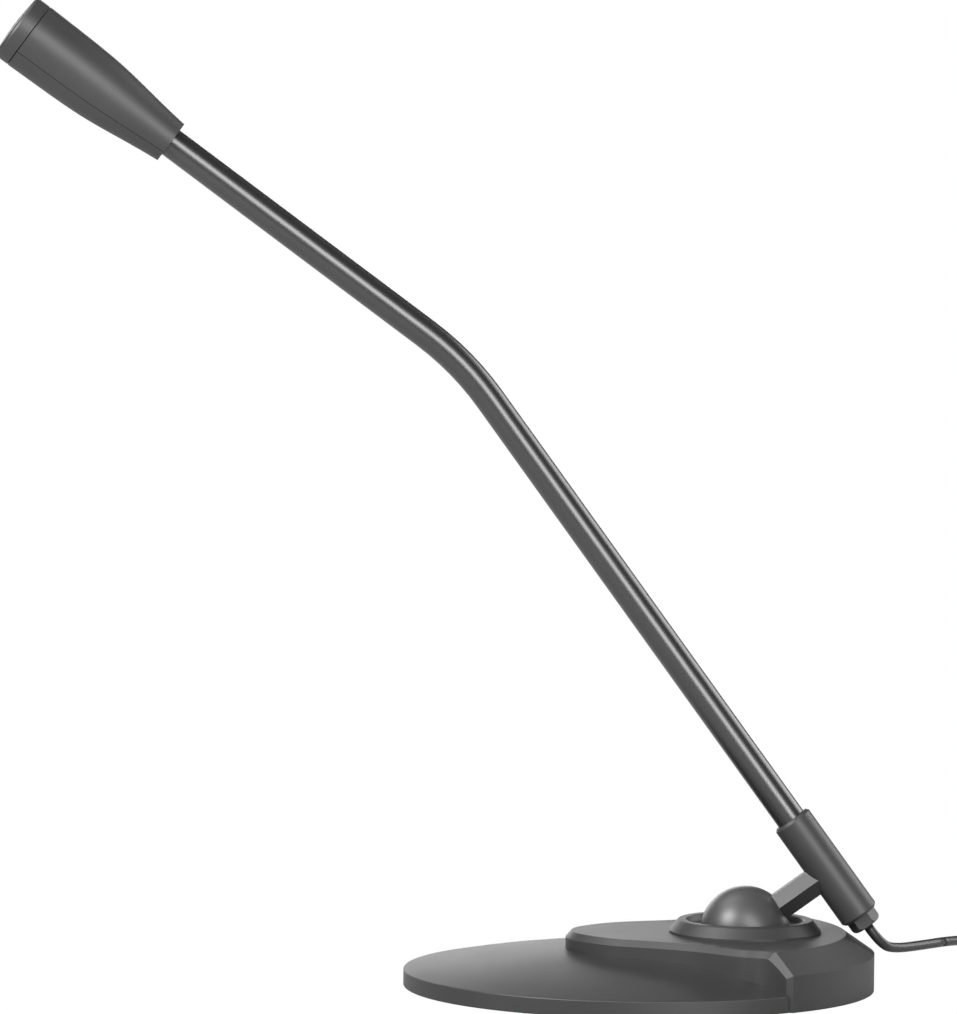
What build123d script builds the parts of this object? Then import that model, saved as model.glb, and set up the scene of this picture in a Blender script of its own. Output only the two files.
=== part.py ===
"""Desk microphone: a pre-bent stem on a ball joint, on a weighted round base, with its cable and jack.

Millimetres, +Z up. The origin is the base's centre on the table. +X points to the rear, and the arm
lies in the XZ plane and leans forward over the base, to -X.
"""

from build123d import *
import math
import os

os.makedirs("parts", exist_ok=True)

# Base
RIM_R = 58.9
RIM_TOP_Z = 4.5
DOME_TOP_Z = 10.6
RIM_ROUND = 0.35
SKIN = 1.8
WALL_FOOT_Z = 0.3
PAD_TOP_Z = 0.8
COVER_TOP_Z = 2.4
BALLAST_TOP_Z = 4.3
BALLAST_R = 49.0
BOSS_CIRCLE_R = 52.4

# Raised housing on the base
HOUSING_R = 59.2
HOUSING_WALL_Z = 9.5
HOUSING_TOP_R = 52.0
HOUSING_TOP_Z = 14.5
SKIRT_R = 56.3
BEVEL_HIGH = 1.45
BEVEL_WIDE = 1.6
END_BEVEL = 1.25
CORNER_CUT = 0.95
TONGUE_TIP_X = -18.3
FLARE_END = (37.6, -45.73)

# Ball joint
BALL_R = 11.25
BALL_X = 26.7
BALL_Z = 14.9
SEAT_GAP = 0.2
WELL_R = 14.4
WELL_WALL = 1.7
RING_FOOT_R = 19.05
RING_TOP_R = 17.15
RING_OPENING_R = 14.6
RING_TOP_Z = 17.75
RING_LEDGE_Z = 16.2
CUP_FOOT_Z = 5.4
CUP_TOP_Z = 12.6
SPRING_PLATE_Z = 3.2
SPRING_PLATE_TOP_Z = 4.0
SPRING_PLATE_R = 22.0
PLATE_SCREW_R = 19.4

# Arm: a hex rod from the ball to a barrel that holds the stem
STEM_ANGLE = 53.8
ROD_LENGTH = 25.7
ROD_ACROSS_FLATS = 6.8
ROD_SHOULDER = 8.0
SPIGOT_R = 2.5
BARREL_R = 5.05
BARREL_BELOW = 13.7
BARREL_ABOVE = 16.3
BARREL_EDGE = 0.7
NUT_LENGTH = 3.2
NUT_CORNER_R = 4.0
STEM_R = 3.75
STEM_WALL = 0.7
STEM_FOOT = -6.0
STEM_BEND_AT = 157.5
STEM_BEND_TURN = 17.5
STEM_BEND_R = 75.0

# Head, measured along its axis from its tail
HEAD_TAIL_AT = 91.1
HEAD_SEAM = 44.1
HEAD_LENGTH = 48.9
HEAD_WALL = 1.3
HEAD_TAIL_R = 5.6
HEAD_SHOULDER = 21.0
HEAD_SHOULDER_R = 8.15
HEAD_FRONT_R = 8.95
HEAD_SPLIT_ANGLE = 29.0
HEAD_SPLIT_GAP = 0.16

# Cord
CORD_R = 1.225
COIL_CENTRE = (110.5, 124.0)
COIL_MID_R = 14.0
COIL_COLUMNS = 5
COIL_LAYERS = 4
TIE_THICK = 0.6
TIE_WIDE = 6.0
COIL_FOOT_Z = TIE_THICK
PLUG_R = 4.0
JACK_R = 1.75


def save(builder, label):
    """Label a finished piece and write it as parts/label.step."""
    builder.part.label = label
    export_step(builder.part, f"parts/{label}.step")


dome_rise = DOME_TOP_Z - RIM_TOP_Z
DOME_SPHERE_R = (RIM_R**2 + dome_rise**2) / (2 * dome_rise)


def dome_z(r):
    """Height of the base's domed top, a cap of a large sphere, at radius r."""
    return DOME_TOP_Z - DOME_SPHERE_R + math.sqrt(DOME_SPHERE_R**2 - r**2)


def under_dome_z(r):
    """Height of the base's ceiling, SKIN below the domed top, at radius r."""
    return DOME_TOP_Z - DOME_SPHERE_R + math.sqrt((DOME_SPHERE_R - SKIN) ** 2 - r**2)


# The housing's outline: a tongue over the middle of the base that flares out to the rim behind.
flare_x, flare_y = FLARE_END
tongue_side = [(-14.2, -10.6), (-6.0, -17.8), (4.0, -21.9), (15.9, -28.4), (26.3, -36.6)]


def outline_wires(tip_x, side, end, rear_r):
    """Draw the closed outline inside a BuildLine block, with its rear arc about the base's centre."""
    near = Spline((tip_x, 0), *side, end, tangents=[(0, -1), (0.72, -0.95)])
    far = Spline((tip_x, 0), *[(x, -y) for x, y in side], (end[0], -end[1]),
                 tangents=[(0, 1), (0.72, 0.95)])
    ThreePointArc(near @ 1, (rear_r, 0), far @ 1)


with BuildSketch() as outline:
    with BuildLine():
        outline_wires(TONGUE_TIP_X, tongue_side, FLARE_END, math.hypot(*FLARE_END))
    make_face()

# Everything under the base's domed top out to the housing's skirt
with BuildPart() as dome_space:
    with BuildSketch(Plane.XZ):
        with BuildLine():
            Polyline((0, DOME_TOP_Z), (0, -1), (SKIRT_R, -1), (SKIRT_R, dome_z(SKIRT_R)))
            ThreePointArc((SKIRT_R, dome_z(SKIRT_R)), (SKIRT_R / 2, dome_z(SKIRT_R / 2)), (0, DOME_TOP_Z))
        make_face()
    revolve(axis=Axis.Z)

# Where the housing's skirt takes the place of the base's rim
with BuildPart() as skirt_space:
    with BuildSketch():
        add(outline.sketch)
        Circle(SKIRT_R, mode=Mode.SUBTRACT)
    extrude(amount=20)

# ---------------------------------------------------------------- base
with BuildPart() as base_disc:
    with BuildSketch(Plane.XZ):
        inner_r = RIM_R - 2.6
        inner_z = under_dome_z(inner_r)
        with BuildLine():
            Polyline((RIM_R - RIM_ROUND, WALL_FOOT_Z), (inner_r, WALL_FOOT_Z), (inner_r, inner_z))
            ThreePointArc((inner_r, inner_z), (inner_r / 2, under_dome_z(inner_r / 2)), (0, DOME_TOP_Z - SKIN))
            Line((0, DOME_TOP_Z - SKIN), (0, DOME_TOP_Z))
            top_r = RIM_R - RIM_ROUND
            ThreePointArc((0, DOME_TOP_Z), (top_r / 2, dome_z(top_r / 2)), (top_r, dome_z(top_r)))
            RadiusArc((top_r, dome_z(top_r)), (RIM_R, RIM_TOP_Z - RIM_ROUND), RIM_ROUND)
            Line((RIM_R, RIM_TOP_Z - RIM_ROUND), (RIM_R, WALL_FOOT_Z + RIM_ROUND))
            RadiusArc((RIM_R, WALL_FOOT_Z + RIM_ROUND), (RIM_R - RIM_ROUND, WALL_FOOT_Z), RIM_ROUND)
        make_face()
    revolve(axis=Axis.Z)
    add(skirt_space.part, mode=Mode.SUBTRACT)
    with Locations((BALL_X, 0, 0)):
        Cylinder(SPRING_PLATE_R + 0.8, 40, mode=Mode.SUBTRACT)
    with BuildSketch(Plane.XY.offset(COVER_TOP_Z)):
        with PolarLocations(BOSS_CIRCLE_R, 4, start_angle=45):
            Circle(2.8)
    extrude(amount=dome_z(BOSS_CIRCLE_R) - SKIN - COVER_TOP_Z + 0.4)
    with Locations((0, 0, COVER_TOP_Z)):
        with PolarLocations(BOSS_CIRCLE_R, 4, start_angle=45):
            Cylinder(1.1, 5.0, align=(Align.CENTER, Align.CENTER, Align.CENTER), mode=Mode.SUBTRACT)
save(base_disc, "base_disc")

# The hollow inside the housing, one wall thickness in from its outline
with BuildPart() as cavity:
    with BuildSketch():
        with BuildLine():
            outline_wires(TONGUE_TIP_X + SKIN, [(x + 1.1, y + 1.5) for x, y in tongue_side],
                          (flare_x + 1.6, flare_y + 3.6), math.hypot(flare_x + 1.6, flare_y + 3.6))
        make_face()
    extrude(amount=HOUSING_TOP_Z - SKIN)
    with BuildSketch(Plane.XZ):
        with BuildLine():
            Polyline((0, 0), (SKIRT_R, 0), (SKIRT_R, HOUSING_WALL_Z - 0.8),
                     (HOUSING_TOP_R - 1.2, HOUSING_TOP_Z - SKIN), (0, HOUSING_TOP_Z - SKIN), (0, 0))
        make_face()
    revolve(axis=Axis.Z, mode=Mode.INTERSECT)

with BuildPart() as top_housing:
    with BuildSketch(Plane.XY.offset(WALL_FOOT_Z)):
        add(outline.sketch)
    extrude(amount=HOUSING_TOP_Z - WALL_FOOT_Z)
    with BuildSketch(Plane.XZ):
        with BuildLine():
            Polyline((0, 0), (HOUSING_R, 0), (HOUSING_R, HOUSING_WALL_Z), (HOUSING_TOP_R, HOUSING_TOP_Z),
                     (0, HOUSING_TOP_Z), (0, 0))
        make_face()
    revolve(axis=Axis.Z, mode=Mode.INTERSECT)
    side = top_housing.faces().filter_by(GeomType.EXTRUSION)[0]
    chamfer([edge for edge in side.edges() if edge.bounding_box().size.Z > 8], length=END_BEVEL)
    top = top_housing.faces().filter_by(Axis.Z).sort_by(Axis.Z)[-1]
    chamfer(top.edges().filter_by(GeomType.BSPLINE), length=BEVEL_HIGH, length2=BEVEL_WIDE, reference=top)
    # The same bevel down the sloping corner between the top's edge and the wall's
    for side_y in (-1, 1):
        slope = Vector(flare_x, side_y * abs(flare_y), 0).normalized() * 5.0 + Vector(0, 0, 7.2)
        facing = (Vector(-0.797, side_y * 0.604, 0) + slope.normalized()).normalized()
        corner = Vector(flare_x, side_y * abs(flare_y), HOUSING_WALL_Z) - facing * CORNER_CUT
        with Locations(Location(Plane(origin=corner, z_dir=facing))):
            Box(40, 40, 8, align=(Align.CENTER, Align.CENTER, Align.MIN), mode=Mode.SUBTRACT)
    add(dome_space.part, mode=Mode.SUBTRACT)
    add(cavity.part, mode=Mode.SUBTRACT)
    with BuildSketch(Plane.XY.offset(SPRING_PLATE_TOP_Z)):
        with Locations((BALL_X, 0)):
            Circle(WELL_R + WELL_WALL)
            with PolarLocations(PLATE_SCREW_R, 3, start_angle=60):
                Circle(2.4)
    extrude(amount=HOUSING_TOP_Z - SPRING_PLATE_TOP_Z - 0.5)
    with Locations((BALL_X, 0, 0)):
        Cylinder(WELL_R, 60, mode=Mode.SUBTRACT)
        with PolarLocations(PLATE_SCREW_R, 3, start_angle=60):
            Cylinder(0.9, 18, mode=Mode.SUBTRACT)
save(top_housing, "top_housing")

with BuildPart() as ballast_plate:
    with BuildSketch(Plane.XY.offset(COVER_TOP_Z)):
        Circle(BALLAST_R)
        with Locations((BALL_X, 0)):
            Circle(SPRING_PLATE_R + 0.8, mode=Mode.SUBTRACT)
    extrude(amount=BALLAST_TOP_Z - COVER_TOP_Z)
    chamfer(ballast_plate.faces().sort_by(Axis.Z)[-1].edges(), length=0.4)
save(ballast_plate, "ballast_plate")

with BuildPart() as bottom_cover:
    with BuildSketch(Plane.XY.offset(PAD_TOP_Z)):
        Circle(RIM_R - 2.8)
    extrude(amount=COVER_TOP_Z - PAD_TOP_Z)
    with Locations((0, 0, PAD_TOP_Z)):
        with PolarLocations(BOSS_CIRCLE_R, 4, start_angle=45):
            Cone(2.4, 1.2, 1.2, align=(Align.CENTER, Align.CENTER, Align.MIN), mode=Mode.SUBTRACT)
            Cylinder(1.2, 8, mode=Mode.SUBTRACT)
save(bottom_cover, "bottom_cover")

with BuildPart() as cover_screws:
    with Locations((0, 0, PAD_TOP_Z)):
        with PolarLocations(BOSS_CIRCLE_R, 4, start_angle=45):
            Cone(2.3, 1.05, 1.15, align=(Align.CENTER, Align.CENTER, Align.MIN))
            Cylinder(1.05, 3.8, align=(Align.CENTER, Align.CENTER, Align.MIN))
save(cover_screws, "cover_screws")

with BuildPart() as antislip_pad:
    with BuildSketch():
        Circle(RIM_R - 3.4)
    extrude(amount=PAD_TOP_Z)
    chamfer(antislip_pad.faces().sort_by(Axis.Z)[0].edges(), length=0.3)
save(antislip_pad, "antislip_pad")

# ---------------------------------------------------------------- ball joint
ball_centre = Vector(BALL_X, 0, BALL_Z)
seat = Pos(*ball_centre) * Sphere(BALL_R + SEAT_GAP)

with BuildPart() as socket_ring:
    with BuildSketch(Plane.XZ):
        with BuildLine():
            Polyline((8.0, HOUSING_TOP_Z - 1.5), (WELL_R - 0.1, HOUSING_TOP_Z - 1.5),
                     (WELL_R - 0.1, HOUSING_TOP_Z), (RING_FOOT_R, HOUSING_TOP_Z),
                     (RING_FOOT_R, HOUSING_TOP_Z + 0.5), (RING_TOP_R, RING_TOP_Z - 0.3),
                     (RING_TOP_R - 0.4, RING_TOP_Z), (RING_OPENING_R + 0.3, RING_TOP_Z),
                     (RING_OPENING_R, RING_TOP_Z - 0.3), (RING_OPENING_R - 0.4, RING_LEDGE_Z),
                     (8.0, RING_LEDGE_Z), (8.0, HOUSING_TOP_Z - 1.5))
        make_face()
    revolve(axis=Axis.Z)
ring_in_place = Pos(BALL_X, 0, 0) * socket_ring.part - seat
with BuildPart() as socket_ring:
    add(ring_in_place)
save(socket_ring, "socket_ring")

with BuildPart() as pressure_cup:
    with Locations((BALL_X, 0, CUP_FOOT_Z)):
        Cylinder(WELL_R - 0.2, CUP_TOP_Z - CUP_FOOT_Z, align=(Align.CENTER, Align.CENTER, Align.MIN))
        Cylinder(7.2, 30, mode=Mode.SUBTRACT)
    add(seat, mode=Mode.SUBTRACT)
save(pressure_cup, "pressure_cup")

with BuildPart() as disc_spring:
    with BuildSketch(Plane.XZ):
        with BuildLine():
            foot, head = SPRING_PLATE_TOP_Z, CUP_FOOT_Z
            Polyline((13.2, foot), (13.2, foot + 0.6), (9.0, head), (9.0, head - 0.6), (13.2, foot))
        make_face()
    revolve(axis=Axis.Z)
disc_spring_part = Pos(BALL_X, 0, 0) * disc_spring.part
with BuildPart() as disc_spring:
    add(disc_spring_part)
save(disc_spring, "disc_spring")

with BuildPart() as spring_plate:
    with Locations((BALL_X, 0, SPRING_PLATE_Z)):
        Cylinder(SPRING_PLATE_R, SPRING_PLATE_TOP_Z - SPRING_PLATE_Z,
                 align=(Align.CENTER, Align.CENTER, Align.MIN))
        Cylinder(5.0, 8, mode=Mode.SUBTRACT)
        with PolarLocations(PLATE_SCREW_R, 3, start_angle=60):
            Cylinder(1.0, 8, mode=Mode.SUBTRACT)
save(spring_plate, "spring_plate")

with BuildPart() as plate_screws:
    with Locations((BALL_X, 0, 0)):
        with PolarLocations(PLATE_SCREW_R, 3, start_angle=60):
            with Locations((0, 0, COVER_TOP_Z + 0.1)):
                Cylinder(1.8, SPRING_PLATE_Z - COVER_TOP_Z - 0.1, align=(Align.CENTER, Align.CENTER, Align.MIN))
                Cylinder(0.85, 6.2, align=(Align.CENTER, Align.CENTER, Align.MIN))
save(plate_screws, "plate_screws")

# ---------------------------------------------------------------- arm
lean = math.radians(STEM_ANGLE)
stem_up = Vector(-math.cos(lean), 0, math.sin(lean))
rod_out = Vector(math.sin(lean), 0, math.cos(lean))
rod_plane = Plane(origin=ball_centre, x_dir=(0, 1, 0), z_dir=rod_out)
rod_foot = ball_centre + rod_out * ROD_LENGTH
stem_plane = Plane(origin=rod_foot, x_dir=(0, 1, 0), z_dir=stem_up)
rod_corner_r = ROD_ACROSS_FLATS / math.sqrt(3)

with BuildPart() as ball:
    with Locations(Location(rod_plane)):
        Sphere(BALL_R)
        Cylinder(SPIGOT_R + 0.05, 60, mode=Mode.SUBTRACT)
        with Locations((0, 0, ROD_SHOULDER - 0.3)):
            Cylinder(rod_corner_r + 0.25, 10, align=(Align.CENTER, Align.CENTER, Align.MIN), mode=Mode.SUBTRACT)
        with Locations((0, 0, -5.0)):
            Cylinder(3.6, 10, align=(Align.CENTER, Align.CENTER, Align.MAX), mode=Mode.SUBTRACT)
save(ball, "ball")

with BuildPart() as hex_rod:
    with BuildSketch(rod_plane.offset(ROD_SHOULDER)):
        RegularPolygon(rod_corner_r, 6)
    extrude(amount=ROD_LENGTH - ROD_SHOULDER)
    with BuildSketch(rod_plane.offset(-5.2)):
        Circle(SPIGOT_R)
    extrude(amount=ROD_SHOULDER + 5.2)
    with BuildSketch(rod_plane.offset(-5.2)):
        Circle(1.25)
    extrude(amount=6.0, mode=Mode.SUBTRACT)
    with Locations(Location(stem_plane)):
        Cylinder(BARREL_R, 60, mode=Mode.SUBTRACT)
    with BuildSketch(rod_plane.offset(ROD_LENGTH - BARREL_R - 1.0)):
        Circle(2.0)
    extrude(amount=1.0 + BARREL_R - STEM_R - 0.25)
save(hex_rod, "hex_rod")

with BuildPart() as ball_screw:
    with BuildSketch(rod_plane.offset(-5.2)):
        Circle(3.3)
    extrude(amount=-2.4)
    with BuildSketch(rod_plane.offset(-5.2)):
        Circle(1.2)
    extrude(amount=5.5)
    with BuildSketch(rod_plane.offset(-7.6)):
        Rectangle(0.8, 4.0)
        Rectangle(4.0, 0.8)
    extrude(amount=1.2, mode=Mode.SUBTRACT)
save(ball_screw, "ball_screw")

with BuildPart() as barrel:
    with BuildSketch(stem_plane.offset(-BARREL_BELOW)):
        Circle(BARREL_R)
    extrude(amount=BARREL_BELOW + BARREL_ABOVE)
    chamfer(barrel.edges().filter_by(GeomType.CIRCLE), length=BARREL_EDGE)
    with BuildSketch(stem_plane.offset(STEM_FOOT)):
        Circle(STEM_R + 0.03)
    extrude(amount=40, mode=Mode.SUBTRACT)
    with Locations(Location(stem_plane)):
        Cylinder(CORD_R + 0.2, 60, mode=Mode.SUBTRACT)
    with BuildSketch(rod_plane.offset(ROD_LENGTH - BARREL_R - 2.0)):
        Circle(2.02)
    extrude(amount=4.0, mode=Mode.SUBTRACT)
save(barrel, "barrel")

with BuildPart() as gland_nut:
    with BuildSketch(stem_plane.offset(-BARREL_BELOW)):
        RegularPolygon(NUT_CORNER_R, 6, rotation=30)
    extrude(amount=-NUT_LENGTH)
    with BuildSketch(Plane(origin=rod_foot, x_dir=rod_out, z_dir=(0, -1, 0))):
        with BuildLine():
            low = -BARREL_BELOW - NUT_LENGTH
            Polyline((0, -BARREL_BELOW + 1), (0, low), (NUT_CORNER_R - 1.3, low))
            ThreePointArc((NUT_CORNER_R - 1.3, low), (NUT_CORNER_R - 0.38, low + 0.38), (NUT_CORNER_R, low + 1.3))
            Polyline((NUT_CORNER_R, low + 1.3), (NUT_CORNER_R, -BARREL_BELOW + 1), (0, -BARREL_BELOW + 1))
        make_face()
    revolve(axis=Axis(rod_foot, stem_up), mode=Mode.INTERSECT)
    with Locations(Location(stem_plane)):
        Cylinder(CORD_R + 0.1, 60, mode=Mode.SUBTRACT)
save(gland_nut, "gland_nut")

# The stem's line: straight, one gentle bend, and straight again into the head
bend = math.radians(STEM_BEND_TURN)
head_out = Vector(-math.cos(lean - bend), 0, math.sin(lean - bend))
stem_vertex = rod_foot + stem_up * STEM_BEND_AT
head_tail = stem_vertex + head_out * HEAD_TAIL_AT
head_plane = Plane(origin=head_tail, x_dir=(0, 1, 0), z_dir=head_out)


def stem_path(start, end):
    """Draw the stem's line inside a BuildLine block, from start along the lower leg to end past the head's tail."""
    return FilletPolyline(rod_foot + stem_up * start, stem_vertex, head_tail + head_out * end,
                          radius=STEM_BEND_R)


with BuildPart() as stem_tube:
    with BuildLine():
        stem_line = stem_path(STEM_FOOT, 8.5)
    with BuildSketch(stem_plane.offset(STEM_FOOT)):
        Circle(STEM_R)
        Circle(STEM_R - STEM_WALL, mode=Mode.SUBTRACT)
    sweep(path=stem_line)
save(stem_tube, "stem_tube")

with BuildPart() as stem_lead:
    with BuildLine():
        lead_line = stem_path(-BARREL_BELOW - NUT_LENGTH, 27.0)
    with BuildSketch(stem_plane.offset(-BARREL_BELOW - NUT_LENGTH)):
        Circle(CORD_R)
    sweep(path=lead_line)
save(stem_lead, "stem_lead")

# ---------------------------------------------------------------- head
section_plane = Plane(origin=head_tail, x_dir=Vector(math.sin(lean - bend), 0, math.cos(lean - bend)),
                      z_dir=(0, -1, 0))
head_axis = Axis(head_tail, head_out)
head_profile = [(HEAD_TAIL_R, 0), (6.85, HEAD_SHOULDER / 2), (HEAD_SHOULDER_R, HEAD_SHOULDER),
                (8.7, 32.0), (HEAD_FRONT_R, HEAD_SEAM)]

with BuildPart() as head_shell:
    with BuildSketch(section_plane):
        with BuildLine():
            outer = Spline(*head_profile)
            Line(outer @ 1, (HEAD_FRONT_R - HEAD_WALL, HEAD_SEAM))
            inner = Spline(*[(r - HEAD_WALL, t) for r, t in reversed(head_profile)])
            Line(inner @ 1, outer @ 0)
        make_face()
    revolve(axis=head_axis)
    with BuildSketch(head_plane.offset(2.4)):
        Circle(5.6)
        Circle(STEM_R + 0.3, mode=Mode.SUBTRACT)
    extrude(amount=1.6)
    with BuildSketch(head_plane.offset(20.5)):
        Circle(7.0)
        Circle(1.9, mode=Mode.SUBTRACT)
    extrude(amount=1.2)

split_turn = math.radians(HEAD_SPLIT_ANGLE)
lower_side = Vector(-math.sin(lean - bend), 0, -math.cos(lean - bend))
split_out = lower_side * math.cos(split_turn) + Vector(0, 1, 0) * math.sin(split_turn)
split_plane = Plane(origin=head_tail, z_dir=split_out)
with BuildPart() as head_shell_lower:
    add(head_shell.part)
    split(bisect_by=split_plane.offset(HEAD_SPLIT_GAP / 2), keep=Keep.TOP)
save(head_shell_lower, "head_shell_lower")
with BuildPart() as head_shell_upper:
    add(head_shell.part)
    split(bisect_by=split_plane.offset(-HEAD_SPLIT_GAP / 2), keep=Keep.BOTTOM)
save(head_shell_upper, "head_shell_upper")

with BuildPart() as head_cap:
    with BuildSketch(section_plane):
        with BuildLine():
            edge, wall = HEAD_FRONT_R - 0.05, 1.3
            end = HEAD_LENGTH - 0.5
            Polyline((0, HEAD_LENGTH - wall), (0, HEAD_LENGTH))
            ThreePointArc((0, HEAD_LENGTH), ((edge - 1.1) / 2, HEAD_LENGTH - 0.13), (edge - 1.1, end))
            ThreePointArc((edge - 1.1, end), (edge - 0.3, end - 0.35), (edge, end - 1.1))
            Polyline((edge, end - 1.1), (edge, HEAD_SEAM + 0.3), (edge - 0.3, HEAD_SEAM), (6.4, HEAD_SEAM),
                     (6.4, HEAD_LENGTH - wall), (0, HEAD_LENGTH - wall))
        make_face()
    revolve(axis=head_axis)
    for ring_r, count in ((0, 1), (2.2, 6), (4.3, 12)):
        with BuildSketch(head_plane.offset(HEAD_LENGTH - 4)):
            with PolarLocations(ring_r, count):
                Circle(0.6)
        extrude(amount=6, mode=Mode.SUBTRACT)
save(head_cap, "head_cap")

with BuildPart() as wind_foam:
    with BuildSketch(head_plane.offset(HEAD_LENGTH - 3.3)):
        Circle(6.2)
    extrude(amount=2.0)
save(wind_foam, "wind_foam")

with BuildPart() as mic_capsule:
    with BuildSketch(head_plane.offset(37.6)):
        Circle(4.85)
    extrude(amount=6.7)
    fillet(mic_capsule.edges().filter_by(GeomType.CIRCLE), radius=0.4)
save(mic_capsule, "mic_capsule")

with BuildPart() as capsule_boot:
    with BuildSketch(head_plane.offset(36.0)):
        Circle(7.2)
        Circle(3.2, mode=Mode.SUBTRACT)
    extrude(amount=1.6)
    with BuildSketch(head_plane.offset(37.6)):
        Circle(7.2)
        Circle(4.85, mode=Mode.SUBTRACT)
    extrude(amount=6.4)
save(capsule_boot, "capsule_boot")

with BuildPart() as stem_collar:
    with BuildSketch(head_plane.offset(4.2)):
        Circle(4.7)
        Circle(STEM_R, mode=Mode.SUBTRACT)
    extrude(amount=4.0)
save(stem_collar, "stem_collar")

# ---------------------------------------------------------------- cord
nut_face = rod_foot - stem_up * (BARREL_BELOW + NUT_LENGTH)
cord_start = nut_face - stem_up * 0.1
coil_out_r = COIL_MID_R + (COIL_COLUMNS - 1) * CORD_R
coil_x, coil_y = COIL_CENTRE
cord_route = [
    tuple(cord_start),
    tuple(cord_start - stem_up * 5.8),
    (64.6, 6.5, 10.0),
    (71.0, 17.0, 9.5),
    (79.5, 33.0, 8.8),
    (88.0, 56.0, 6.0),
    (91.0, 76.0, 3.0),
    (91.4, 94.0, 1.4),
    (91.5, 105.0, 1.3),
    (coil_x - coil_out_r, 114.0, 1.5),
    (coil_x - coil_out_r + 0.02, coil_y, COIL_FOOT_Z + CORD_R),
]


def fillet_radii(points, label):
    """The arc at each corner: as large as its two runs allow. Prints them."""
    radii = []
    for a, b, c in zip(points, points[1:], points[2:]):
        before, after = Vector(*b) - Vector(*a), Vector(*c) - Vector(*b)
        turn = math.radians(before.get_angle(after))
        radii.append(0.45 * min(before.length, after.length) / math.tan(turn / 2))
    print(label, "arc radii:", [round(r, 1) for r in radii])
    return radii


with BuildPart() as cord_run:
    with BuildLine():
        cord_line = FilletPolyline(*cord_route, radius=fillet_radii(cord_route, "cord run"))
    with BuildSketch(Plane(origin=cord_line @ 0, z_dir=cord_line % 0)):
        Circle(CORD_R)
    sweep(path=cord_line)
print("cord run", round(cord_line.length, 1), "mm, volume share",
      round(cord_run.part.volume / (math.pi * CORD_R**2 * cord_line.length), 4))
save(cord_run, "cord_run")

coil_wide = COIL_COLUMNS * 2 * CORD_R
coil_high = COIL_LAYERS * 2 * CORD_R
with BuildPart() as cord_coil:
    with BuildSketch(Plane(origin=(coil_x, coil_y, 0), x_dir=(1, 0, 0), z_dir=(0, -1, 0))):
        with Locations((COIL_MID_R, COIL_FOOT_Z + coil_high / 2)):
            RectangleRounded(coil_wide, coil_high, 1.2)
    revolve(axis=Axis((coil_x, coil_y, 0), (0, 0, 1)))
save(cord_coil, "cord_coil")

with BuildPart() as coil_tie:
    with BuildSketch(Plane(origin=(coil_x, coil_y + COIL_MID_R, COIL_FOOT_Z + coil_high / 2),
                           x_dir=(0, 1, 0), z_dir=(1, 0, 0))):
        RectangleRounded(coil_wide + 2 * TIE_THICK, coil_high + 2 * TIE_THICK, 1.6)
        RectangleRounded(coil_wide + 0.05, coil_high + 0.05, 1.0, mode=Mode.SUBTRACT)
    extrude(amount=TIE_WIDE / 2, both=True)
    add(cord_coil.part, mode=Mode.SUBTRACT)
save(coil_tie, "coil_tie")

# The free end leaves the coil's top layer on the right, towards -Y, and comes down beside it
plug_x = coil_x + coil_out_r + 2.6
top_layer_z = COIL_FOOT_Z + (2 * COIL_LAYERS - 1) * CORD_R
lead_route = [
    (coil_x + coil_out_r, coil_y - 3.0, top_layer_z),
    (coil_x + coil_out_r + 0.4, coil_y - 9.0, top_layer_z - 0.5),
    (plug_x - 0.3, coil_y - 16.0, PLUG_R + 1.2),
    (plug_x, coil_y - 22.0, PLUG_R),
]
with BuildPart() as plug_lead:
    with BuildLine():
        lead_run = FilletPolyline(*lead_route, radius=fillet_radii(lead_route, "plug lead"))
    with BuildSketch(Plane(origin=lead_run @ 0, z_dir=lead_run % 0)):
        Circle(CORD_R)
    sweep(path=lead_run)
print("plug lead", round(lead_run.length, 1), "mm")
save(plug_lead, "plug_lead")


def plug_plane(along):
    """A plane across the plug, along millimetres from the start of its strain relief."""
    return Plane(origin=(plug_x, coil_y - 22.0 - along, PLUG_R), x_dir=(1, 0, 0), z_dir=(0, -1, 0))


BOOT_LENGTH = 9.0
BODY_LENGTH = 17.0
plug_face = BOOT_LENGTH + BODY_LENGTH
with BuildPart() as plug_boot:
    with BuildSketch(plug_plane(0)):
        Circle(1.7)
    with BuildSketch(plug_plane(BOOT_LENGTH)):
        Circle(2.6)
    loft()
save(plug_boot, "plug_boot")

with BuildPart() as plug_body:
    with BuildSketch(plug_plane(BOOT_LENGTH)):
        Circle(PLUG_R - 0.05)
    extrude(amount=BODY_LENGTH)
    fillet(plug_body.faces().sort_by(Axis.Y)[-1].edges(), radius=1.0)
    chamfer(plug_body.faces().sort_by(Axis.Y)[0].edges(), length=0.5)
save(plug_body, "plug_body")

# The jack's contacts in order from the plug's face: (name, radius, start, length)
SLEEVE_LENGTH = 6.4
jack_parts = [("jack_sleeve", JACK_R, 0.0, SLEEVE_LENGTH), ("jack_ring", JACK_R, 7.0, 2.4)]
for label, radius, start, length in jack_parts:
    with BuildPart() as contact:
        with BuildSketch(plug_plane(plug_face + start)):
            Circle(radius)
        extrude(amount=length)
    save(contact, label)

with BuildPart() as jack_insulators:
    for start in (6.4, 9.4):
        with BuildSketch(plug_plane(plug_face + start)):
            Circle(JACK_R)
        extrude(amount=0.6)
save(jack_insulators, "jack_insulators")

with BuildPart() as jack_tip:
    with BuildSketch(Plane(origin=(plug_x, coil_y - 22.0 - plug_face, PLUG_R), x_dir=(1, 0, 0), z_dir=(0, 0, 1))):
        with BuildLine():
            Polyline((0, -10.0), (JACK_R - 0.1, -10.0), (1.15, -11.3), (1.6, -12.1), (1.55, -12.7),
                     (0.5, -14.0), (0, -14.0), (0, -10.0))
        make_face()
    revolve(axis=Axis((plug_x, coil_y, PLUG_R), (0, 1, 0)))
save(jack_tip, "jack_tip")

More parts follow.
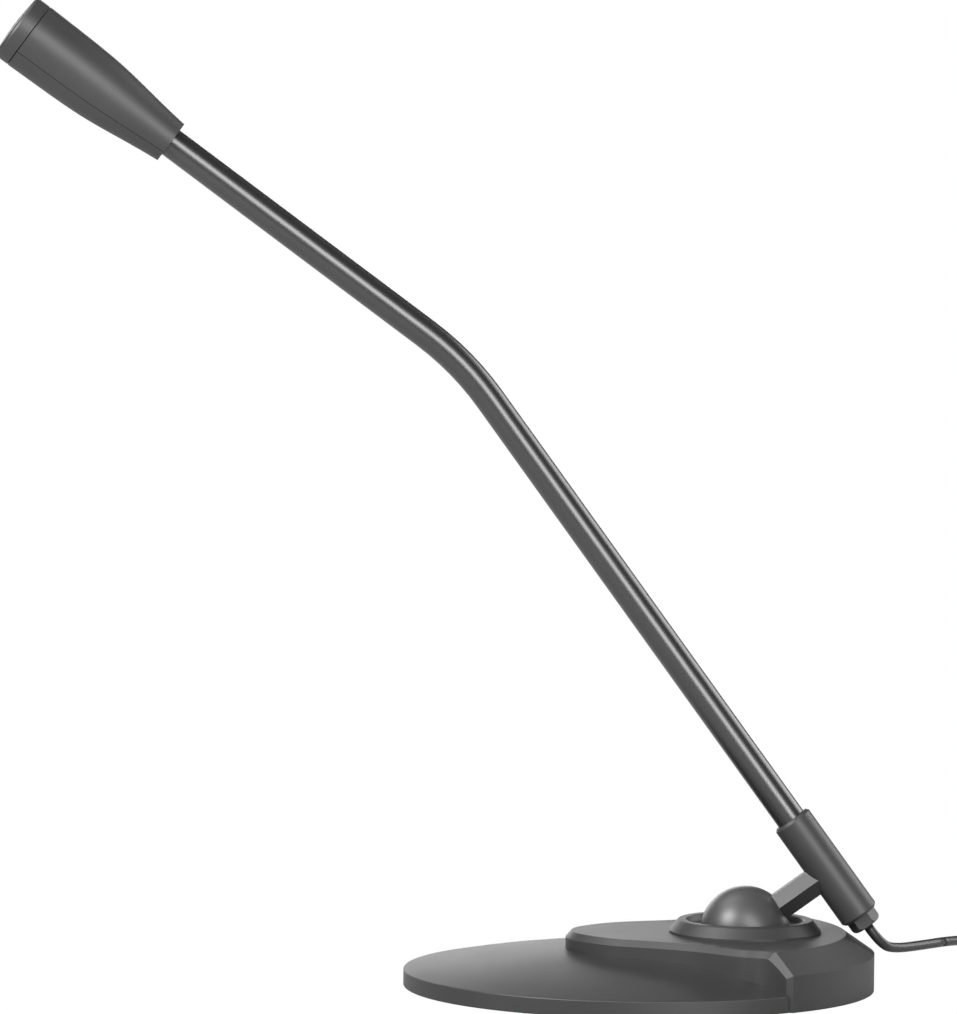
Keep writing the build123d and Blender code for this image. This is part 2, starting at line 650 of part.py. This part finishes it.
print("ball centre", tuple(round(c, 3) for c in ball_centre), "rod", tuple(round(c, 4) for c in rod_out))
print("gland face", tuple(round(c, 3) for c in nut_face), "head tail", tuple(round(c, 3) for c in head_tail))
print("jack sleeve face", (round(plug_x, 3), round(coil_y - 22.0 - plug_face, 3), PLUG_R))
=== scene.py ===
"""Looks of the desk microphone: camera, cord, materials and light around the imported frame."""
import math

import bmesh
import bpy
from mathutils import Matrix, Quaternion, Vector


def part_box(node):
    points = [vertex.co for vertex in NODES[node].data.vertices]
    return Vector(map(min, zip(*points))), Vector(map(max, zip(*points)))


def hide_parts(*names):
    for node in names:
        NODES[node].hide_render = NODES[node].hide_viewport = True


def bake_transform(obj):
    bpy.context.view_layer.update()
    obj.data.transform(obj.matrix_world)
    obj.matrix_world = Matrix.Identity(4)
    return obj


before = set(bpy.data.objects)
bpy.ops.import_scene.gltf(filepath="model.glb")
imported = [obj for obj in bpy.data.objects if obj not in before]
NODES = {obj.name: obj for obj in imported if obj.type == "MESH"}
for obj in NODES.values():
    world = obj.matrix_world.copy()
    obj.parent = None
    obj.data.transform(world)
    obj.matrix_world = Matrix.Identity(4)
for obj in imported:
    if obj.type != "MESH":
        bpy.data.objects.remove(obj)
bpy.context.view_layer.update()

# ---------------------------------------------------------------- camera
CAMERA_DISTANCE = 3.0
CAMERA_AZIMUTH = math.radians(1.0)
CAMERA_ELEVATION = math.radians(5.4)
CAMERA_ROLL = math.radians(0.62)
PIXELS_PER_METRE = 4000.0
AIM = Vector((-0.0413, 0.0, 0.1207))
SENSOR = 36.0
PICTURE_HIGH = 1014


def make_camera():
    data = bpy.data.cameras.new("camera")
    data.sensor_width = SENSOR
    data.lens = SENSOR * PIXELS_PER_METRE * CAMERA_DISTANCE / PICTURE_HIGH
    data.clip_start, data.clip_end = 0.1, 60.0
    camera = bpy.data.objects.new("camera", data)
    bpy.context.scene.collection.objects.link(camera)
    back = Vector((math.sin(CAMERA_AZIMUTH) * math.cos(CAMERA_ELEVATION),
                   -math.cos(CAMERA_AZIMUTH) * math.cos(CAMERA_ELEVATION),
                   math.sin(CAMERA_ELEVATION)))
    camera.rotation_mode = "QUATERNION"
    camera.location = AIM + back * CAMERA_DISTANCE
    upright = (-back).to_track_quat("-Z", "Y")
    camera.rotation_quaternion = upright @ Quaternion((0, 0, 1), CAMERA_ROLL)
    bpy.context.scene.camera = camera


make_camera()

# ---------------------------------------------------------------- cord
CORD_R = 0.001225
# The control points of the route from the nut down to the floor and up to the coil, in metres
ROUTE = [
    (0.05748, 0.0, 0.01636),
    (0.06091, 0.0, 0.01168),
    (0.0646, 0.0065, 0.0100),
    (0.0710, 0.0170, 0.0095),
    (0.0795, 0.0330, 0.0088),
    (0.0880, 0.0560, 0.0060),
    (0.0910, 0.0760, 0.0030),
    (0.0914, 0.0940, 0.0014),
    (0.0915, 0.1050, 0.0013),
    (0.0916, 0.1140, 0.0015),
]
coil_low, coil_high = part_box("cord_coil")
COIL_CENTRE = (coil_low + coil_high) / 2
COIL_MID_R = 0.014
COLUMNS, LAYERS = 5, 4
POINTS_A_TURN = 16
# Along the cord, where one body's share of it ends and the next one's starts
FIRST_CUT_AT = 0.034
SECOND_CUT_AT = 0.078


def coil_points():
    """The coil's turns: out and in through the columns, one layer on the next, clockwise from the left."""
    points = []
    last = COLUMNS * LAYERS - 0.5
    steps = int(last * POINTS_A_TURN)
    for k in range(steps + 1):
        turn = k / POINTS_A_TURN
        layer = min(int(turn // COLUMNS), LAYERS - 1)
        along = min(turn - layer * COLUMNS, COLUMNS - 1)
        column = COLUMNS - 1 - along if layer % 2 == 0 else along
        rise = max(0.0, turn - layer * COLUMNS - (COLUMNS - 1)) if layer < LAYERS - 1 else 0.0
        r = COIL_MID_R + (column - (COLUMNS - 1) / 2) * 2 * CORD_R
        angle = math.pi - turn * 2 * math.pi
        points.append((COIL_CENTRE.x + r * math.cos(angle), COIL_CENTRE.y + r * math.sin(angle),
                       coil_low.z + (2 * (layer + rise) + 1) * CORD_R))
    return points


def route_line(points, name):
    """The smooth line of the route's NURBS, with its points as control points."""
    data = bpy.data.curves.new(name, "CURVE")
    data.dimensions = "3D"
    data.resolution_u = 8
    spline = data.splines.new("NURBS")
    spline.points.add(len(points) - 1)
    for p, co in zip(spline.points, points):
        p.co = (*co, 1.0)
    spline.order_u = 3
    spline.use_endpoint_u = True
    curve = bpy.data.objects.new(name, data)
    mesh = bpy.data.meshes.new_from_object(curve)
    line = [v.co.copy() for v in mesh.vertices]
    bpy.data.meshes.remove(mesh)
    bpy.data.objects.remove(curve)
    bpy.data.curves.remove(data)
    return line


def length_of(line):
    return sum((b - a).length for a, b in zip(line, line[1:]))


def frames_along(line):
    """A direction across the line at each point, carried along it without twist."""
    across = []
    side = Vector((0, -1, 0))
    for i, p in enumerate(line):
        ahead = (line[min(i + 1, len(line) - 1)] - line[max(i - 1, 0)]).normalized()
        side = (side - ahead * side.dot(ahead)).normalized()
        across.append((side.copy(), ahead.cross(side)))
    return across


def tube(name, line, across, radius, sides=20):
    """A smooth tube along line, closed at both ends."""
    bm = bmesh.new()
    rings = []
    for p, (u, v) in zip(line, across):
        ring = []
        for k in range(sides):
            a = 2 * math.pi * k / sides
            ring.append(bm.verts.new(p + (u * math.cos(a) + v * math.sin(a)) * radius))
        rings.append(ring)
    for r0, r1 in zip(rings, rings[1:]):
        for k in range(sides):
            bm.faces.new((r0[k], r0[(k + 1) % sides], r1[(k + 1) % sides], r1[k]))
    bm.faces.new(list(reversed(rings[0])))
    bm.faces.new(rings[-1])
    bmesh.ops.recalc_face_normals(bm, faces=bm.faces)
    mesh = bpy.data.meshes.new(name)
    bm.to_mesh(mesh)
    bm.free()
    for f in mesh.polygons:
        f.use_smooth = len(f.vertices) == 4
    piece = bpy.data.objects.new(name, mesh)
    bpy.context.scene.collection.objects.link(piece)
    return piece


def at_length(line, wanted):
    """The number of the line's point nearest to a length along it."""
    done = 0.0
    for i, (a, b) in enumerate(zip(line, line[1:])):
        if done >= wanted:
            return i
        done += (b - a).length
    return len(line) - 1


boot_low, boot_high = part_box("plug_boot")
plug_x = (boot_low.x + boot_high.x) / 2
plug_z = (boot_low.z + boot_high.z) / 2
coil_right = COIL_CENTRE.x + COIL_MID_R + (COLUMNS - 1) * CORD_R
tail = [
    (coil_right + 0.0001, COIL_CENTRE.y - 0.004, coil_high.z - CORD_R),
    (coil_right + 0.0004, COIL_CENTRE.y - 0.009, coil_high.z - CORD_R - 0.0005),
    (plug_x - 0.0003, COIL_CENTRE.y - 0.016, plug_z + 0.0012),
    (plug_x, boot_high.y + 0.0015, plug_z),
    (plug_x, boot_high.y - 0.001, plug_z),
]
whole = route_line(ROUTE + coil_points() + tail, "route")
across = frames_along(whole)
first_cut = at_length(whole, FIRST_CUT_AT)
second_cut = at_length(whole, SECOND_CUT_AT)
cord_pieces = []
for name, a, b in (("cord_at_gland", 0, first_cut), ("cord_lift", first_cut, second_cut),
                   ("cord", second_cut, len(whole) - 1)):
    cord_pieces.append(tube(name, whole[a:b + 1], across[a:b + 1], CORD_R))
cord_at_gland, cord_lift, cord = cord_pieces
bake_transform(cord_at_gland)
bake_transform(cord_lift)
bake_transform(cord)
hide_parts("cord_run", "cord_coil", "plug_lead")
print("cord", round(length_of(whole), 3), "m")


# ---------------------------------------------------------------- materials
BROAD_NOISE_SCALE = 35.0
BROAD_NOISE_DETAIL = 5.0
FINE_NOISE_DETAIL = 3.0


def material(name, color, roughness, grain=0.0, grain_size=0.0004, metallic=0.0,
             mottling=0.12, specular=0.5, roughness_spread=0.06):
    """A moulded or painted surface: colour and roughness vary a little, and a fine grain is in its bump."""
    mat = bpy.data.materials.new(name)
    mat.use_nodes = True
    tree = mat.node_tree
    shader = tree.nodes["Principled BSDF"]
    shader.inputs["Metallic"].default_value = metallic
    shader.inputs["Specular IOR Level"].default_value = specular
    place = tree.nodes.new("ShaderNodeTexCoord")
    broad = tree.nodes.new("ShaderNodeTexNoise")
    broad.inputs["Scale"].default_value = BROAD_NOISE_SCALE
    broad.inputs["Detail"].default_value = BROAD_NOISE_DETAIL
    tree.links.new(place.outputs["Object"], broad.inputs["Vector"])
    tint = tree.nodes.new("ShaderNodeValToRGB")
    tint.color_ramp.elements[0].position, tint.color_ramp.elements[1].position = 0.3, 0.7
    tint.color_ramp.elements[0].color = (*[c * (1 - mottling) for c in color], 1)
    tint.color_ramp.elements[1].color = (*[c * (1 + mottling) for c in color], 1)
    tree.links.new(broad.outputs["Fac"], tint.inputs["Fac"])
    tree.links.new(tint.outputs["Color"], shader.inputs["Base Color"])
    spread = tree.nodes.new("ShaderNodeMapRange")
    spread.inputs["To Min"].default_value = roughness - roughness_spread
    spread.inputs["To Max"].default_value = roughness + roughness_spread
    tree.links.new(broad.outputs["Fac"], spread.inputs["Value"])
    tree.links.new(spread.outputs["Result"], shader.inputs["Roughness"])
    if grain:
        fine = tree.nodes.new("ShaderNodeTexNoise")
        fine.inputs["Scale"].default_value = 1 / grain_size
        fine.inputs["Detail"].default_value = FINE_NOISE_DETAIL
        tree.links.new(place.outputs["Object"], fine.inputs["Vector"])
        bump = tree.nodes.new("ShaderNodeBump")
        bump.inputs["Strength"].default_value = grain
        bump.inputs["Distance"].default_value = grain_size / 4
        tree.links.new(fine.outputs["Fac"], bump.inputs["Height"])
        tree.links.new(bump.outputs["Normal"], shader.inputs["Normal"])
    return mat


base_plastic = material("base_plastic", (0.014, 0.014, 0.0144), 0.50, grain=0.15)
head_plastic = material("head_plastic", (0.020, 0.020, 0.0204), 0.48, grain=0.03)
ball_plastic = material("ball_plastic", (0.036, 0.036, 0.0365), 0.40, grain=0.03)
enamel = material("enamel", (0.007, 0.007, 0.0073), 0.31, specular=0.9, roughness_spread=0.02,
                  mottling=0.05)
nut_plastic = material("nut_plastic", (0.022, 0.022, 0.0225), 0.48, grain=0.03)
pvc = material("cord_pvc", (0.010, 0.010, 0.0104), 0.42, grain=0.02)
rubber = material("pad_rubber", (0.02, 0.02, 0.02), 0.75, grain=0.5, grain_size=0.0006)
steel = material("steel", (0.55, 0.55, 0.56), 0.35, metallic=1.0, grain=0.1)
plating = material("plating", (0.78, 0.76, 0.72), 0.18, metallic=1.0, mottling=0.04)
insulation = material("insulation", (0.02, 0.02, 0.02), 0.5)
foam = material("foam", (0.02, 0.02, 0.021), 0.9, grain=0.9, grain_size=0.0008)
MATERIALS = {
    "base_disc": base_plastic, "top_housing": base_plastic, "bottom_cover": base_plastic,
    "socket_ring": base_plastic, "pressure_cup": base_plastic, "antislip_pad": rubber,
    "ballast_plate": steel, "cover_screws": steel, "disc_spring": steel, "spring_plate": steel,
    "plate_screws": steel, "ball": ball_plastic, "hex_rod": base_plastic, "ball_screw": steel,
    "barrel": head_plastic, "gland_nut": nut_plastic, "stem_tube": enamel, "stem_lead": pvc,
    "stem_collar": head_plastic, "head_shell_lower": head_plastic, "head_shell_upper": head_plastic,
    "head_cap": head_plastic, "wind_foam": foam, "mic_capsule": plating, "capsule_boot": rubber,
    "coil_tie": pvc, "plug_boot": pvc, "plug_body": nut_plastic, "jack_sleeve": plating,
    "jack_ring": plating, "jack_tip": plating, "jack_insulators": insulation,
}
for node, mat in MATERIALS.items():
    NODES[node].data.materials.clear()
    NODES[node].data.materials.append(mat)
    for face in NODES[node].data.polygons:
        face.material_index = 0
for piece in cord_pieces:
    piece.data.materials.append(pvc)


# ---------------------------------------------------------------- floor and light
FLOOR_HALF_WIDTH = 14.0
FLOOR_Z = -0.0002
FLOOR_GREY = 0.4
FLOOR_ROUGHNESS = 0.9
WORLD_STRENGTH = 0.10
WHITE = (1, 1, 1, 1)
# What the lights face, and how far the key light leans out along the rod
LIT_CENTRE = Vector((-0.03, 0, 0.11))
KEY_LEAN = 0.46


def camera_sees(tree, shown, otherwise, output):
    """Give camera rays what is shown and every other ray what is otherwise there."""
    path = tree.nodes.new("ShaderNodeLightPath")
    either = tree.nodes.new("ShaderNodeMixShader")
    tree.links.new(path.outputs["Is Camera Ray"], either.inputs["Fac"])
    tree.links.new(otherwise, either.inputs[1])
    tree.links.new(shown, either.inputs[2])
    tree.links.new(either.outputs["Shader"], output)


def make_floor():
    bm = bmesh.new()
    bmesh.ops.create_grid(bm, x_segments=1, y_segments=1, size=FLOOR_HALF_WIDTH)
    mesh = bpy.data.meshes.new("floor")
    bm.to_mesh(mesh)
    bm.free()
    floor = bpy.data.objects.new("floor", mesh)
    floor.location.z = FLOOR_Z
    bpy.context.scene.collection.objects.link(floor)
    mat = bpy.data.materials.new("floor")
    mat.use_nodes = True
    tree = mat.node_tree
    shader = tree.nodes["Principled BSDF"]
    shader.inputs["Base Color"].default_value = (FLOOR_GREY, FLOOR_GREY, FLOOR_GREY, 1)
    shader.inputs["Roughness"].default_value = FLOOR_ROUGHNESS
    white = tree.nodes.new("ShaderNodeEmission")
    camera_sees(tree, white.outputs["Emission"], shader.outputs["BSDF"],
                tree.nodes["Material Output"].inputs["Surface"])
    floor.data.materials.append(mat)


def area_light(name, towards, distance, wide, high, power, along=Vector((0, 0, 1))):
    """A soft box in the direction towards, facing the object, with its height along a direction."""
    data = bpy.data.lights.new(name, "AREA")
    data.shape = "RECTANGLE"
    data.size, data.size_y = wide, high
    data.energy = power
    light = bpy.data.objects.new(name, data)
    light.visible_camera = False
    bpy.context.scene.collection.objects.link(light)
    z = towards.normalized()
    y = (along - z * along.dot(z)).normalized()
    x = y.cross(z)
    turned = Matrix((x, y, z)).transposed().to_4x4()
    light.matrix_world = Matrix.Translation(LIT_CENTRE + z * distance) @ turned


make_floor()
world = bpy.data.worlds.new("studio")
world.use_nodes = True
sky = world.node_tree
dim = sky.nodes["Background"]
dim.inputs["Color"].default_value = WHITE
dim.inputs["Strength"].default_value = WORLD_STRENGTH
white = sky.nodes.new("ShaderNodeBackground")
white.inputs["Color"].default_value = WHITE
camera_sees(sky, white.outputs["Background"], dim.outputs["Background"],
            sky.nodes["World Output"].inputs["Surface"])
bpy.context.scene.world = world
bpy.context.scene.view_settings.view_transform = "Standard"

rod_out = Vector((0.807, 0, 0.59))
stem_up = Vector((-0.59, 0, 0.807))
view_back = Vector((math.sin(CAMERA_AZIMUTH), -math.cos(CAMERA_AZIMUTH), math.sin(CAMERA_ELEVATION)))
area_light("key", view_back + rod_out * KEY_LEAN, 1.5, 0.65, 1.7, 33.0, along=stem_up)
area_light("upper_left", Vector((-1.0, -0.75, 0.85)), 1.3, 0.6, 0.6, 32.0)
area_light("back", Vector((-0.25, 1.0, 0.15)), 1.5, 1.0, 0.5, 5.5)
area_light("top", Vector((-0.5, 0.2, 1.0)), 1.4, 0.9, 0.9, 8.0, along=Vector((1, 0, 0)))
area_light("right", Vector((1.0, 0.5, 0.42)), 1.5, 1.0, 1.0, 15.0)
